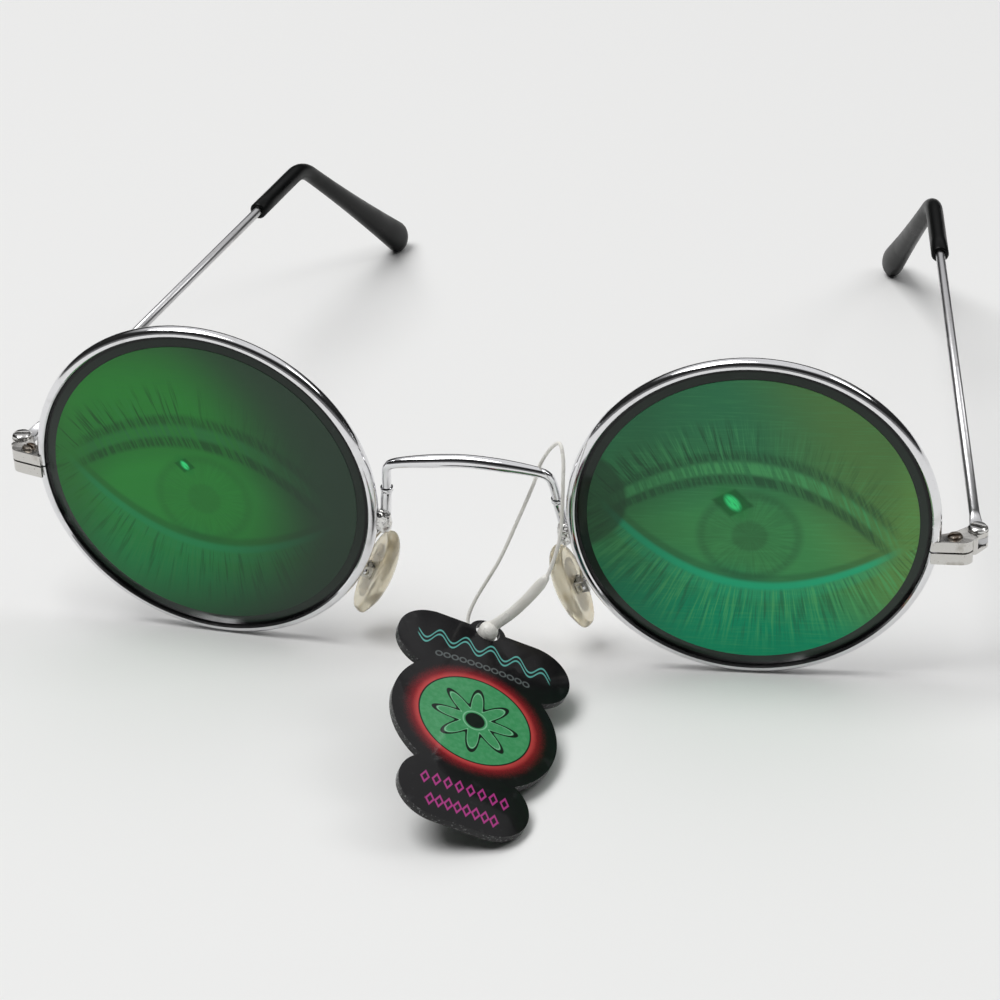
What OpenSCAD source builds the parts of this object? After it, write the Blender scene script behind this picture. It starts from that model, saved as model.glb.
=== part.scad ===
// Round wire sunglasses with picture-film lenses, standing open on a table.
// The front faces -Y, the temples reach back along +Y and +Z is up.
// Left and right are the wearer's: the wearer's left is at +X.

/* [Lenses and rims] */
// Radius of the lens that shows inside its rim
lens_r = 23; // [21:0.5:25]
// Distance between the two lens centres
lens_pitch = 73.6; // [72:0.2:80]
// Thickness of the tinted lens
lens_t = 0.9; // [0.8:0.05:1.1]
// Gap between the lens edge and the groove that holds it
lens_fit = 0.04; // [0.02:0.01:0.06]
// Depth of the rim wire from front to back
rim_depth = 2; // [1.7:0.05:2.2]
// Thickness of the rim wire across its ring
rim_wall = 1.2; // [1.1:0.05:1.3]
// Distance of the rim's middle behind the front
rim_set = 0.7; // [0:0.1:1]
// Depth of the groove inside the rim
groove_depth = 0.5; // [0.4:0.05:0.5]
// Thickness of the picture film on the lens front
film_t = 0.12; // [0.1:0.02:0.2]
// Width of the bare tinted ring around the film
film_inset = 1.6; // [1:0.1:4]
// Angle that the outer side of each rim is swept back
wrap = 4; // [1:0.5:7]
// Angle that the top of the front leans forward over a level table
front_lean = 5; // [2:0.5:8]

/* [Bridge] */
// Diameter of the bridge wire at its middle
bridge_d = 1.8; // [1.6:0.05:2.2]
// Diameter of the bridge wire at its two legs
leg_d = 1.5; // [1.4:0.05:1.6]
// Diameter of the bridge wire where it narrows over the legs
neck_d = 1.25; // [1.1:0.05:1.4]
// Height of the bridge above the lens centres
bridge_rise = 8; // [7:0.5:10]
// Distance that the bridge stands forward of its legs
bridge_forward = 2; // [1:0.25:3]
// Depth of the legs below the lens centres
leg_drop = 4.4; // [3.8:0.1:4.8]
// Width of the raised ring on each leg
collar_w = 0.6; // [0.4:0.1:0.9]
// Radius of the brazed joint between a leg and its rim
braze_r = 1.1; // [1.05:0.05:1.3]

/* [Nose pads] */
// Length of a nose pad
pad_l = 13; // [12:0.2:14]
// Width of a nose pad at its broad lower end
pad_w = 6.6; // [6:0.2:7]
// Thickness of a nose pad
pad_t = 2.3; // [2.1:0.1:2.8]
// Distance of a pad's middle outwards of the bridge's leg
pad_out = 1.85; // [1.4:0.05:2.4]
// Distance of a pad's middle behind the front
pad_y = 3.4; // [3:0.1:5]
// Depth of a pad's middle below the lens centres
pad_z = 14.4; // [13.6:0.2:15.2]
// Distance that both pads are bent towards the wearer's right
pad_aside = 1.5; // [0:0.1:1.6]
// Angle that the lower end of the wearer's left pad spreads outwards
pad_spread_left = 19; // [16:1:24]
// Angle that the lower end of the wearer's right pad spreads outwards
pad_spread_right = 28; // [24:1:30]
// Angle that the wearer's left pad's face turns towards the back
pad_turn_left = 3; // [0:1:12]
// Angle that the wearer's right pad's face turns towards the back
pad_turn_right = 24; // [16:1:28]
// Diameter of the pad arm's wire
arm_d = 1; // [0.8:0.05:1.1]
// Radius of the pin that a pad rocks on
pad_pin_r = 0.4; // [0.35:0.05:0.5]
// Gap around the pad pin
pad_pin_fit = 0.05; // [0.03:0.01:0.08]
// Thickness of the metal insert in a pad
insert_t = 0.4; // [0.3:0.05:0.5]

/* [End pieces and hinges] */
// Height of the wearer's left rim split over the lens centres
split_left = -3.7; // [-4.4:0.1:-2]
// Height of the wearer's right rim split over the lens centres
split_right = 0.5; // [-0.5:0.1:2]
// Width of the split that the lock screw draws together
split_gap = 0.24; // [0.15:0.01:0.35]
// Height of the end piece's upper block
upper_h = 1.55; // [1.45:0.05:2]
// Height of the end piece's lower block
lower_h = 1.7; // [1.5:0.05:2.2]
// Angle that the wearer's left end piece is bent back
end_turn_left = 0; // [-2:1:10]
// Angle that the wearer's right end piece is bent back
end_turn_right = 14; // [-2:1:16]
// Reach of the end piece outwards from the rim
end_out = 4.4; // [4:0.1:5]
// Distance of the hinge screw outwards from the rim
hinge_out = 4.9; // [4.5:0.1:5.4]
// Distance of the hinge screw behind the rim's middle
hinge_back = 2.7; // [2.7:0.1:3.4]
// Radius of the hinge ears and of the temple's eye
eye_r = 1.35; // [1.25:0.05:1.5]
// Thickness of the temple's eye
eye_t = 0.9; // [0.7:0.05:1]
// Thickness of each hinge ear
ear_t = 0.65; // [0.5:0.05:0.8]
// Gap between an ear and the eye
ear_fit = 0.05; // [0.03:0.01:0.1]
// Radius of the hinge screw's shank
screw_r = 0.6; // [0.5:0.05:0.7]
// Gap around the hinge screw in the eye
screw_fit = 0.04; // [0.02:0.01:0.08]
// Radius of the hinge screw's head
hinge_head_r = 1.3; // [1.1:0.05:1.45]
// Radius of the rim lock screw's head
lock_head_r = 1; // [0.9:0.05:1.05]
// Height of the hinge screw's head
hinge_head_h = 0.6; // [0.5:0.05:0.9]
// Height of the rim lock screw's head, half of it sunk in the end piece
lock_head_h = 0.6; // [0.4:0.05:0.7]
// Distance of the rim lock screw outwards from the rim
lock_out = 2; // [1.8:0.1:2.2]
// Distance of the rim lock screw behind the rim's middle
lock_back = 0.6; // [0.4:0.1:0.7]

/* [Temples] */
// Diameter of the temple wire
wire_d = 1.4; // [1.2:0.05:1.5]
// Length from the hinge to the start of the bend
temple_l = 99; // [92:0.5:110]
// Length from the bend to the middle of the rounded end
drop_l = 38.2; // [33:0.2:42]
// Angle that the temple bends down behind the ear
bend = 41; // [36:0.5:46]
// Radius of that bend
bend_r = 9; // [6:0.5:14]
// Angle that the bent end leans towards the head
lean_in = 9.6; // [4:0.2:16]
// Angle that an open temple turns in from straight back
turn_in = 7.5; // [5:0.1:10]
// Distance from the hinge to the front end of the plastic tip
tip_from = 81; // [74:0.5:88]
// Diameter of the tip at its front end
tip_d = 2.7; // [2.5:0.1:3]
// Height of the tip at its rounded end
tip_h = 5.5; // [4.6:0.1:5.8]
// Thickness of the tip at its rounded end
tip_t = 3.9; // [3.2:0.1:4.2]
// Gap around the wire inside the tip
tip_fit = 0.06; // [0.04:0.01:0.1]

/* [Hang tag] */
// Thickness of the tag
tag_t = 1; // [0.8:0.1:1.2]
// Width of the tag's top lobe
tag_top_w = 24; // [23:0.2:26]
// Radius of the tag's middle lobe
tag_mid_r = 11.2; // [10.6:0.2:11.6]
// Width of the tag's bottom lobe
tag_low_w = 17.2; // [16:0.2:19]
// Radius of the hole for the loop
tag_hole_r = 1.7; // [1.65:0.05:2]
// Diameter of the clear loop
loop_d = 0.5; // [0.4:0.05:0.8]
// Width of the loop's flat band
band_w = 1.5; // [1.3:0.1:2.4]
// Thickness of the loop's flat band
band_t = 0.7; // [0.5:0.05:0.9]
// Radius of the loop's lock
lock_r = 1.3; // [1.1:0.05:1.35]

/* [Hidden] */

// Sides of a drawn circle, and of the swept wires
$fn = 96;
wire_sides = 24;
// Sides that stand for the wearer's left and right
LEFT = 1;
RIGHT = -1;
// A cut runs this far past the face that it opens
over = 0.5;

half_pitch = lens_pitch / 2;
rim_out_r = lens_r + rim_wall;
rim_mid_r = rim_out_r - rim_depth / 2;
groove_r = lens_r + groove_depth;
// The lowest points of the leaning rims touch the table
front_h = rim_mid_r * cos(front_lean) + rim_depth / 2 - rim_set * sin(front_lean);
// How far a brazed piece is let into the rim wire
braze_in = 0.35;

// Turns a point of the leaning front into a point over the table
function over_table(p) = [p.x,
                          p.y * cos(front_lean) - p.z * sin(front_lean),
                          p.y * sin(front_lean) + p.z * cos(front_lean) + front_h];
// A point on the swept-back side of the front: outwards from the lens centre, back and up
function on_side(s, p) = [s * (half_pitch + p.x * cos(wrap) - p.y * sin(wrap)),
                          rim_set + p.x * sin(wrap) + p.y * cos(wrap), p.z];

// Hinge stack, measured up from the middle of the rim split
ear_top = upper_h;
eye_top = ear_top - ear_t - ear_fit;
eye_low = eye_top - eye_t;
ear_low_top = eye_low - ear_fit;
stack_low = ear_low_top - ear_t;
eye_mid = (eye_top + eye_low) / 2;

// Where the rim split meets the outside of the rim, over the table
function split_of(s) = s > 0 ? split_left : split_right;
function split_point(s) =
    over_table(on_side(s, [sqrt(pow(rim_out_r, 2) - pow(split_of(s), 2)), 0, split_of(s)]));
function end_angle(s) = wrap + (s > 0 ? end_turn_left : end_turn_right);
function hinge_point(s) = split_point(s)
    + [s * (hinge_out * cos(end_angle(s)) - hinge_back * sin(end_angle(s))),
       hinge_out * sin(end_angle(s)) + hinge_back * cos(end_angle(s)), eye_mid];

// Lift of a temple that lets the lower edge of its rounded end meet the table
tip_support = sqrt(pow(tip_h / 2 * cos(lean_in), 2) + pow(tip_t / 2 * sin(lean_in), 2));
reach_back = temple_l + drop_l * cos(bend);
reach_down = drop_l * sin(bend) * cos(lean_in);
function lift_of(s) = asin((tip_support - hinge_point(s).z) / norm([reach_back, reach_down]))
    + atan2(reach_down, reach_back);

// The origin lies on the table under the middle of the part's length
back_end = max([for (s = [LEFT, RIGHT]) hinge_point(s).y
    + (reach_back * cos(lift_of(s)) + reach_down * sin(lift_of(s))) * cos(turn_in)
    - drop_l * sin(bend) * sin(lean_in) * sin(turn_in) + tip_h / 2]);
front_end = over_table([0, -bridge_forward, bridge_rise]).y - bridge_d / 2;
middle_y = (front_end + back_end) / 2;

// Start of the bend, as far as the bend's own tangent reaches
bend_tangent = bend_r * tan(bend / 2);

function unit(v) = v / norm(v);
function sum(v, i = 0) = i < len(v) ? v[i] + sum(v, i + 1) : 0;
// A point of the smooth curve through four points, between the middle two
function curve_point(a, b, c, d, t) =
    0.5 * (2 * b + (c - a) * t + (2 * a - 5 * b + 4 * c - d) * t * t
           + (3 * b - a - 3 * c + d) * t * t * t);
// A smooth curve through all points, with even steps between each two
function curve(p, steps) =
    let (n = len(p) - 1)
    [for (i = [0 : n - 1]) for (k = [0 : steps - 1])
         curve_point(p[max(i - 1, 0)], p[i], p[i + 1], p[min(i + 2, n)], k / steps),
     p[n]];
function path_length(p) = sum([for (i = [1 : len(p) - 1]) norm(p[i] - p[i - 1])]);
function heading(p, i) = unit(p[min(i + 1, len(p) - 1)] - p[max(i - 1, 0)]);

// Rings of a swept tube: half width across `flat`, half height square to it
function ring(c, t, flat, a, b, sides) =
    let (u = unit(cross(t, flat)), v = cross(t, u))
    [for (k = [0 : sides - 1]) c + u * a * cos(360 * k / sides) + v * b * sin(360 * k / sides)];

// Closed skin over a list of rings that all have the same count of points
module skin(rings) {
    n = len(rings);
    m = len(rings[0]);
    walls = [for (i = [0 : n - 2]) for (k = [0 : m - 1])
        each [[i * m + k, (i + 1) * m + k, (i + 1) * m + (k + 1) % m],
              [i * m + k, (i + 1) * m + (k + 1) % m, i * m + (k + 1) % m]]];
    polyhedron(points = [for (r = rings) each r],
               faces = concat(walls, [[for (k = [0 : m - 1]) k]],
                              [[for (k = [m - 1 : -1 : 0]) (n - 1) * m + k]]));
}

// Tube along a path, with its half width and half height at each point
module sweep(path, half_w, half_h, flat, sides) {
    skin([for (i = [0 : len(path) - 1])
        ring(path[i], heading(path, i), flat, half_w[i], half_h[i], sides)]);
}

// Places what is drawn for the leaning front
module on_front() {
    translate([0, -middle_y, front_h]) rotate([front_lean, 0, 0]) children();
}

// Places what is drawn around a lens centre: x outwards, y back
module on_lens(s) {
    on_front() translate([s * half_pitch, rim_set, 0]) mirror([s < 0 ? 1 : 0, 0, 0])
        rotate([0, 0, wrap]) children();
}

// Places what is drawn level at a rim split: x outwards, y back
module at_split(s) {
    translate(split_point(s) - [0, middle_y, 0]) mirror([s < 0 ? 1 : 0, 0, 0])
        rotate([0, 0, end_angle(s)]) children();
}

// Places what is drawn around a hinge, with the open temple along +y
module at_hinge(s) {
    translate(hinge_point(s) - [0, middle_y, 0]) mirror([s < 0 ? 1 : 0, 0, 0])
        rotate([0, 0, turn_in]) children();
}

// Half-round wire section with the groove for the lens edge
module rim_section() {
    lip = 0.18;
    difference() {
        union() {
            intersection() {
                translate([rim_mid_r, 0]) circle(d = rim_depth);
                translate([lens_r, -rim_depth]) square([2 * rim_wall, 2 * rim_depth]);
            }
            polygon([[lens_r, -rim_depth / 2 + lip], [lens_r + lip, -rim_depth / 2],
                     [rim_mid_r + lip, -rim_depth / 2], [rim_mid_r + lip, rim_depth / 2],
                     [lens_r + lip, rim_depth / 2], [lens_r, rim_depth / 2 - lip]]);
        }
        lens_edge(lens_fit);
    }
}

// Half section of the lens edge: a wedge that seats in the groove
module lens_edge(gap) {
    tip = 0.16;
    polygon([[lens_r - 1, -lens_t / 2 - gap], [lens_r, -lens_t / 2 - gap],
             [groove_r - lens_fit + gap, -tip - gap], [groove_r - lens_fit + gap, tip + gap],
             [lens_r, lens_t / 2 + gap], [lens_r - 1, lens_t / 2 + gap]]);
}

module rim(s) {
    color("silver") on_lens(s) difference() {
        rotate([90, 0, 0]) rotate_extrude() rim_section();
        translate([0, 0, split_of(s)]) rotate([-front_lean, 0, 0])
            translate([lens_r - 2, -rim_depth, -split_gap / 2])
                cube([rim_wall + 3, 2 * rim_depth, split_gap]);
    }
}

module lens(s) {
    color([0.2, 0.23, 0.21]) on_lens(s) rotate([90, 0, 0]) rotate_extrude() {
        lens_edge(0);
        translate([0, -lens_t / 2]) square([lens_r - over, lens_t]);
    }
}

module picture_film(s) {
    color([0.1, 0.45, 0.2]) on_lens(s) translate([0, -lens_t / 2, 0]) rotate([90, 0, 0])
        cylinder(r = lens_r - film_inset, h = film_t);
}

// Distance of a leg from the middle, close beside the rim
leg_x = half_pitch - rim_out_r - leg_d / 2 - 0.1;
pad_x = leg_x + pad_out;
collar_z = bridge_rise * 0.22;
// Points of the bridge wire on the wearer's left, from the foot to the middle
bridge_half = [[leg_x + 0.5, 0.5, -leg_drop],
               [leg_x + 0.3, 0.3, -leg_drop / 2],
               [leg_x, 0, 0],
               [leg_x - 0.3, -0.1 * bridge_forward, collar_z],
               [leg_x - 0.6, -0.4 * bridge_forward, bridge_rise * 0.54],
               [leg_x - 1.1, -0.72 * bridge_forward, bridge_rise * 0.76],
               [leg_x - 2.6, -0.9 * bridge_forward, bridge_rise * 0.87],
               [leg_x * 0.4, -bridge_forward, bridge_rise * 0.96]];
bridge_points = concat([for (p = bridge_half) [-p.x, p.y, p.z]],
                       [[0, -bridge_forward, bridge_rise]],
                       [for (i = [len(bridge_half) - 1 : -1 : 0]) bridge_half[i]]);

// The wire narrows over the collar and swells to the middle of the bridge
function bridge_half_d(p) =
    p.z < collar_z ? leg_d / 2
    : let (f = min(1, max(0, (leg_x - 0.8 - abs(p.x)) / 6))) (neck_d + (bridge_d - neck_d) * f) / 2;

module bridge() {
    path = curve(bridge_points, 4);
    half = [for (p = path) bridge_half_d(p)];
    color("silver") on_front() {
        sweep(path, half, half, [0, 1, 0.01], wire_sides);
        for (s = [LEFT, RIGHT])
            translate([s * (leg_x - 0.3), -0.1 * bridge_forward, collar_z - collar_w / 2])
                cylinder(r = leg_d / 2 + 0.08, h = collar_w);
    }
}

// Brazed lump that ties a leg and a pad arm to the back edge of the rim
braze_at = [leg_x + 0.55, -0.3, -leg_drop + 0.4];

module bridge_braze() {
    color("gainsboro") on_front() for (s = [LEFT, RIGHT])
        translate([s * braze_at.x, braze_at.y, braze_at.z]) {
            sphere(r = braze_r, $fn = 48);
            cylinder(r = braze_r, h = 1.3);
            translate([0, 0, 1.3]) sphere(r = braze_r, $fn = 48);
        }
}

// A point of a pad: x away from the nose, y along its width, z up its length
function pad_turn(s) = s > 0 ? pad_turn_left : pad_turn_right;
function pad_spread(s) = s > 0 ? pad_spread_left : pad_spread_right;
function on_pad(s, p) =
    let (d = pad_spread(s), t = pad_turn(s),
         a = [p.x * cos(d) - p.z * sin(d), p.y, p.x * sin(d) + p.z * cos(d)],
         b = [a.x * cos(t) + a.y * sin(t), a.y * cos(t) - a.x * sin(t), a.z])
    [s * (pad_x + b.x) - pad_aside, pad_y + b.y, b.z - pad_z];

module at_pad(s) {
    on_front() translate([s * pad_x - pad_aside, pad_y, -pad_z])
        mirror([s < 0 ? 1 : 0, 0, 0]) rotate([0, 0, -pad_turn(s)]) rotate([0, -pad_spread(s), 0])
            children();
}

// Back face of the pad, the insert's plate inside it, and the pin behind it
pad_back = pad_t * 0.35;
insert_w = 3.2;
insert_l = 8.4;
cheek_gap = arm_d + 0.3;
cheek_t = 0.42;
pin_off = pad_back + pad_pin_r + 0.55;
barrel_r = pad_pin_r + 0.3;
insert_x = pad_back - insert_t - 0.3;

module nose_pad(s) {
    small_r = pad_w * 0.36;
    broad_r = pad_w / 2;
    color([0.9, 0.87, 0.76, 0.6]) at_pad(s) difference() {
        intersection() {
            hull() {
                scale([pad_t * 0.95, broad_r, pad_l / 2]) sphere(r = 1, $fn = 40);
                translate([0, 0, pad_l / 2 - small_r - 0.3]) scale([pad_t * 0.45 / small_r, 1, 1])
                    sphere(r = small_r, $fn = 32);
                translate([0, 0, broad_r - 0.5 - pad_l / 2]) scale([pad_t * 0.45 / broad_r, 0.86, 0.86])
                    sphere(r = broad_r, $fn = 32);
            }
            translate([-2 * pad_t, -pad_w, -pad_l]) cube([2 * pad_t + pad_back, 2 * pad_w, 2 * pad_l]);
        }
        insert_blank(0.02);
    }
}

// Outline of the metal insert, let into the back of the pad
module insert_blank(gap) {
    translate([insert_x - gap, 0, 0]) rotate([0, 90, 0])
        linear_extrude(insert_t + 2 * gap) {
            square([insert_l - insert_w, insert_w + 2 * gap], center = true);
            for (e = [-1, 1]) translate([e * (insert_l - insert_w) / 2, 0])
                circle(d = insert_w + 2 * gap);
        }
    translate([insert_x + insert_t / 2, -cheek_gap / 2 - cheek_t - gap, -pad_pin_r * 2 - gap])
        cube([pad_t, cheek_gap + 2 * cheek_t + 2 * gap, pad_pin_r * 4 + 2 * gap]);
}

module pad_insert(s) {
    color("lightgray") at_pad(s) difference() {
        union() {
            insert_blank(0);
            for (e = [-1, 1]) translate([pin_off, e * (cheek_gap + cheek_t) / 2, 0])
                rotate([90, 0, 0]) cylinder(r = pad_pin_r * 2, h = cheek_t, center = true);
        }
        translate([insert_x + insert_t, -cheek_gap / 2, -pad_l])
            cube([2 * pad_t, cheek_gap, 2 * pad_l]);
        translate([pin_off + pad_pin_r * 2, -pad_w, -pad_l]) cube([pad_t, 2 * pad_w, 2 * pad_l]);
        translate([pin_off, 0, 0]) rotate([90, 0, 0])
            cylinder(r = pad_pin_r + pad_pin_fit, h = pad_w, center = true);
    }
}

// Gooseneck wire from the brazed lump to the barrel and pin behind the pad
module pad_arm(s) {
    root = [s * (braze_at.x + 0.1), braze_at.y + 0.4, braze_at.z];
    route = [root, root + [s * 0.15, 1.5, -0.8], root + [s * 0.5 - pad_aside * 0.2, 2.6, -2.2],
             on_pad(s, [pin_off + 0.9, 0, 5]), on_pad(s, [pin_off + 0.7, 0, 2.5]),
             on_pad(s, [pin_off, 0, 0])];
    path = curve(route, 5);
    half = [for (p = path) arm_d / 2];
    color("silver") {
        on_front() sweep(path, half, half, [0.9, 0.1, 0], 12);
        at_pad(s) translate([pin_off, 0, 0]) rotate([90, 0, 0]) {
            cylinder(r = barrel_r, h = cheek_gap - 0.1, center = true);
            cylinder(r = pad_pin_r, h = cheek_gap + 2 * cheek_t + 0.2, center = true);
        }
    }
}

// Plan of the end piece, from its lip over the rim's front to its rounded end
module end_plan() {
    corner = 1.5;
    front = -rim_depth / 2 - 0.12;
    hull() {
        translate([-braze_in, front]) square([1, rim_depth]);
        translate([end_out - corner, front + corner]) circle(r = corner, $fn = 32);
        translate([lock_out, lock_back]) circle(r = lock_head_r + 0.1, $fn = 32);
    }
    translate([0.15 - rim_wall, front]) square([rim_wall, 0.3]);
}

// Upper block with the two hinge ears; the temple's eye turns between them
module end_piece(s) {
    color("silver") at_split(s) difference() {
        union() {
            translate([0, 0, split_gap / 2])
                linear_extrude(upper_h - split_gap / 2) end_plan();
            translate([0, 0, eye_top + ear_fit]) linear_extrude(ear_t) hull() {
                translate([lock_out, lock_back]) circle(r = lock_head_r, $fn = 32);
                translate([hinge_out, hinge_back]) circle(r = eye_r, $fn = 48);
            }
            translate([0, 0, stack_low]) linear_extrude(ear_t) ear_plan();
            hinge_wall();
        }
        translate([hinge_out, hinge_back, stack_low - over]) {
            cylinder(r = screw_r + 0.01, h = upper_h - stack_low + 2 * over);
            translate([0, 0, over + ear_t]) cylinder(r = eye_r + 0.12, h = eye_t + 2 * ear_fit);
        }
        translate([lock_out, lock_back, -over]) cylinder(r = screw_r + 0.01, h = upper_h + 1);
        translate([lock_out, lock_back, upper_h - lock_head_h / 2])
            cylinder(r = lock_head_r + 0.02, h = lock_head_h);
    }
}

// Lower ear, tied to the block in front of the hinge
module ear_plan() {
    hull() {
        translate([hinge_out, hinge_back]) circle(r = eye_r, $fn = 48);
        translate([hinge_out - 0.5, hinge_back - eye_r - 0.75]) circle(r = 0.55, $fn = 32);
    }
}

// Wall that joins the ears in front of the eye, clear of the temple's swing
module hinge_wall() {
    translate([0, 0, stack_low]) linear_extrude(upper_h - stack_low)
        translate([hinge_out - 0.5, hinge_back - eye_r - 0.75]) circle(r = 0.55, $fn = 32);
}

module rim_lock_block(s) {
    color("silver") at_split(s) difference() {
        translate([0, 0, -lower_h]) linear_extrude(lower_h - split_gap / 2) difference() {
            end_plan();
            offset(delta = 0.1) ear_plan();
        }
        translate([lock_out, lock_back, -lower_h - over]) cylinder(r = screw_r + 0.01, h = upper_h + 2);
    }
}

module slotted_head(r, h) {
    difference() {
        union() {
            cylinder(r = r, h = h * 0.6);
            translate([0, 0, h * 0.6]) cylinder(r1 = r, r2 = r * 0.8, h = h * 0.4);
        }
        translate([-r, -0.2, h * 0.5]) cube([2 * r, 0.4, h]);
    }
}

// One screw in each end piece draws the split rim shut on its lens
module rim_lock_screws() {
    color("lightgray") for (s = [LEFT, RIGHT]) at_split(s) translate([lock_out, lock_back, 0]) {
        translate([0, 0, -lower_h]) cylinder(r = screw_r, h = lower_h + upper_h - lock_head_h / 2);
        translate([0, 0, upper_h - lock_head_h / 2]) rotate([0, 0, 20])
            slotted_head(lock_head_r, lock_head_h);
    }
}

module hinge_screw(s) {
    color("gainsboro") at_split(s) translate([hinge_out, hinge_back, 0]) {
        translate([0, 0, stack_low - 0.5]) cylinder(r = screw_r, h = upper_h - stack_low + 0.5);
        translate([0, 0, upper_h]) rotate([0, 0, -25])
            slotted_head(hinge_head_r, hinge_head_h);
    }
}

// Places what is drawn along the lifted wire
module along_wire(s) {
    at_hinge(s) rotate([lift_of(s), 0, 0]) children();
}

// Turns the plane of the bend so that the end leans towards the head
module in_bend_plane() {
    rotate([0, lean_in, 0]) children();
}

// How far the wire reaches past the bend inside the plastic tip
core_l = drop_l - 6;

// Centreline of the wire from its neck to its end, in the plane of the bend
tongue_l = eye_r * 1.75;
wire_neck = 5.8;
wire_path = let (a = temple_l - bend_tangent, c = [0, a, -bend_r],
                 e = c + bend_r * [0, sin(bend), cos(bend)])
    concat([[0, wire_neck, 0]],
           [for (k = [0 : 8]) c + bend_r * [0, sin(bend * k / 8), cos(bend * k / 8)]],
           [e + (core_l - bend_tangent) * [0, cos(bend), -sin(bend)]]);

module temple_wire(s) {
    path = wire_path;
    half = [for (p = path) wire_d / 2];
    color("silver") difference() {
        union() {
            at_hinge(s) cylinder(r = eye_r, h = eye_t, center = true);
            hull() for (y = [eye_r * 0.5, tongue_l]) at_hinge(s) translate([0, y, 0])
                cylinder(r = eye_r * 0.65, h = eye_t * 0.96, center = true, $fn = 32);
            hull() {
                at_hinge(s) translate([0, tongue_l, 0])
                    cylinder(r = eye_r * 0.65, h = eye_t * 0.96, center = true, $fn = 32);
                along_wire(s) translate([0, wire_neck, 0]) rotate([-90, 0, 0])
                    cylinder(d = wire_d - 0.04, h = 0.1, $fn = 48);
            }
            along_wire(s) in_bend_plane() sweep(path, half, half, [1, 0, 0], wire_sides);
        }
        at_hinge(s) cylinder(r = screw_r + screw_fit, h = 3, center = true);
    }
}

// Centreline of the plastic tip, in the plane of the bend
function tip_path(s) =
    let (a = temple_l - bend_tangent, c = [0, a, -bend_r],
         d = [0, cos(bend), -sin(bend)],
         e = c + bend_r * [0, sin(bend), cos(bend)])
    concat([for (k = [0 : 3]) [0, tip_from + (a - tip_from) * k / 4, 0]],
           [for (k = [0 : 8]) c + bend_r * [0, sin(bend * k / 8), cos(bend * k / 8)]],
           [for (k = [1 : 8]) e + d * (drop_l - bend_tangent) * k / 8]);

// Rounded plastic tip with a bore for the wire's end
module temple_tip(s) {
    path = tip_path(s);
    n = len(path) - 1;
    last = path[n];
    dir = heading(path, n);
    // The drop swells from the bend to the paddle at its end
    grow = [for (i = [0 : n]) pow(max(0, (i - 12) / (n - 12)), 1.7)];
    cap = 6;
    half_h = [for (g = grow) tip_d / 2 + (tip_h - tip_d) / 2 * g];
    half_w = [for (g = grow) tip_d / 2 + (tip_t - tip_d) / 2 * g];
    bore = wire_d / 2 + tip_fit;
    flat = [0, 0, 1];
    body = [for (i = [0 : n]) ring(path[i], heading(path, i), [1, 0, 0],
                                   half_h[i], half_w[i], wire_sides)];
    round_end = [for (k = [1 : cap]) let (a = 90 * k / (cap + 0.25))
        ring(last + dir * tip_h / 2 * sin(a), dir, [1, 0, 0],
             tip_h / 2 * cos(a), tip_t / 2 * cos(a), wire_sides)];
    // The bore is a second skin, turned inside out and joined at the front end
    core_end = n - 1;
    inner = [for (i = [core_end : -1 : 0]) ring(path[i], heading(path, i), [1, 0, 0],
                                               bore, bore, wire_sides)];
    nose = ring(path[0] - [0, 0.3, 0], [0, 1, 0], [1, 0, 0],
                tip_d / 2 - 0.25, tip_d / 2 - 0.25, wire_sides);
    mouth = ring(path[0] - [0, 0.3, 0], [0, 1, 0], [1, 0, 0], bore, bore, wire_sides);
    color([0.1, 0.1, 0.1]) along_wire(s) in_bend_plane()
        skin(concat(inner, [mouth, nose], body, round_end));
}

// Place and tilt of the tag, which leans on its loop with its lower right edge down
tag_at = [4.8, -25.1, 6.5];
tag_tilt = [9, 24.5, 10];
tag_hole_y = 17.6;

module at_tag() {
    translate(tag_at - [0, middle_y, 0]) rotate(tag_tilt) children();
}

module tag_plan() {
    lobe_r = 5.3;
    hull() for (e = [-1, 1]) translate([e * (tag_top_w / 2 - lobe_r), 12.5]) circle(r = lobe_r);
    translate([0, tag_hole_y - 0.6]) circle(r = tag_hole_r + 0.9);
    circle(r = tag_mid_r);
    hull() for (e = [-1, 1]) translate([e * (tag_low_w / 2 - lobe_r), -13.7]) circle(r = lobe_r);
}

module hang_tag() {
    color([0.08, 0.08, 0.09]) at_tag() linear_extrude(tag_t, center = true) difference() {
        tag_plan();
        translate([0, tag_hole_y]) circle(r = tag_hole_r);
    }
}

// Centreline of the clear loop, from behind the tag, round the bridge and down in front
LOOP_ROUTE = [[2.3, -7.8, 8.7], [0.9, -7.2, 8.7], [0, -6, 9.8], [1, -5, 12.6], [4.1, -3.8, 18],
              [6.4, -2.6, 23.2], [8.4, -1, 28], [9.4, -0.7, 31], [11, -1.4, 33.8],
              [12.5, -2.8, 35.3], [13.1, -3.9, 33.6], [13.1, -4.4, 31], [12.9, -4.6, 26.8],
              [12.6, -5, 23], [11.8, -5.5, 19.8], [10.9, -6, 17.4]];
BAND_ROUTE = [[10.9, -6, 17.4], [8.9, -6.6, 14.9], [6.6, -7.2, 12.5], [4.6, -7.6, 10.9],
              [3.2, -7.8, 10]];

module tag_loop() {
    path = curve(LOOP_ROUTE, 3);
    half = [for (p = path) loop_d / 2];
    color([0.93, 0.93, 0.9]) translate([0, -middle_y, 0]) sweep(path, half, half, [0.3, 1, 0.1], 8);
}

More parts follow.
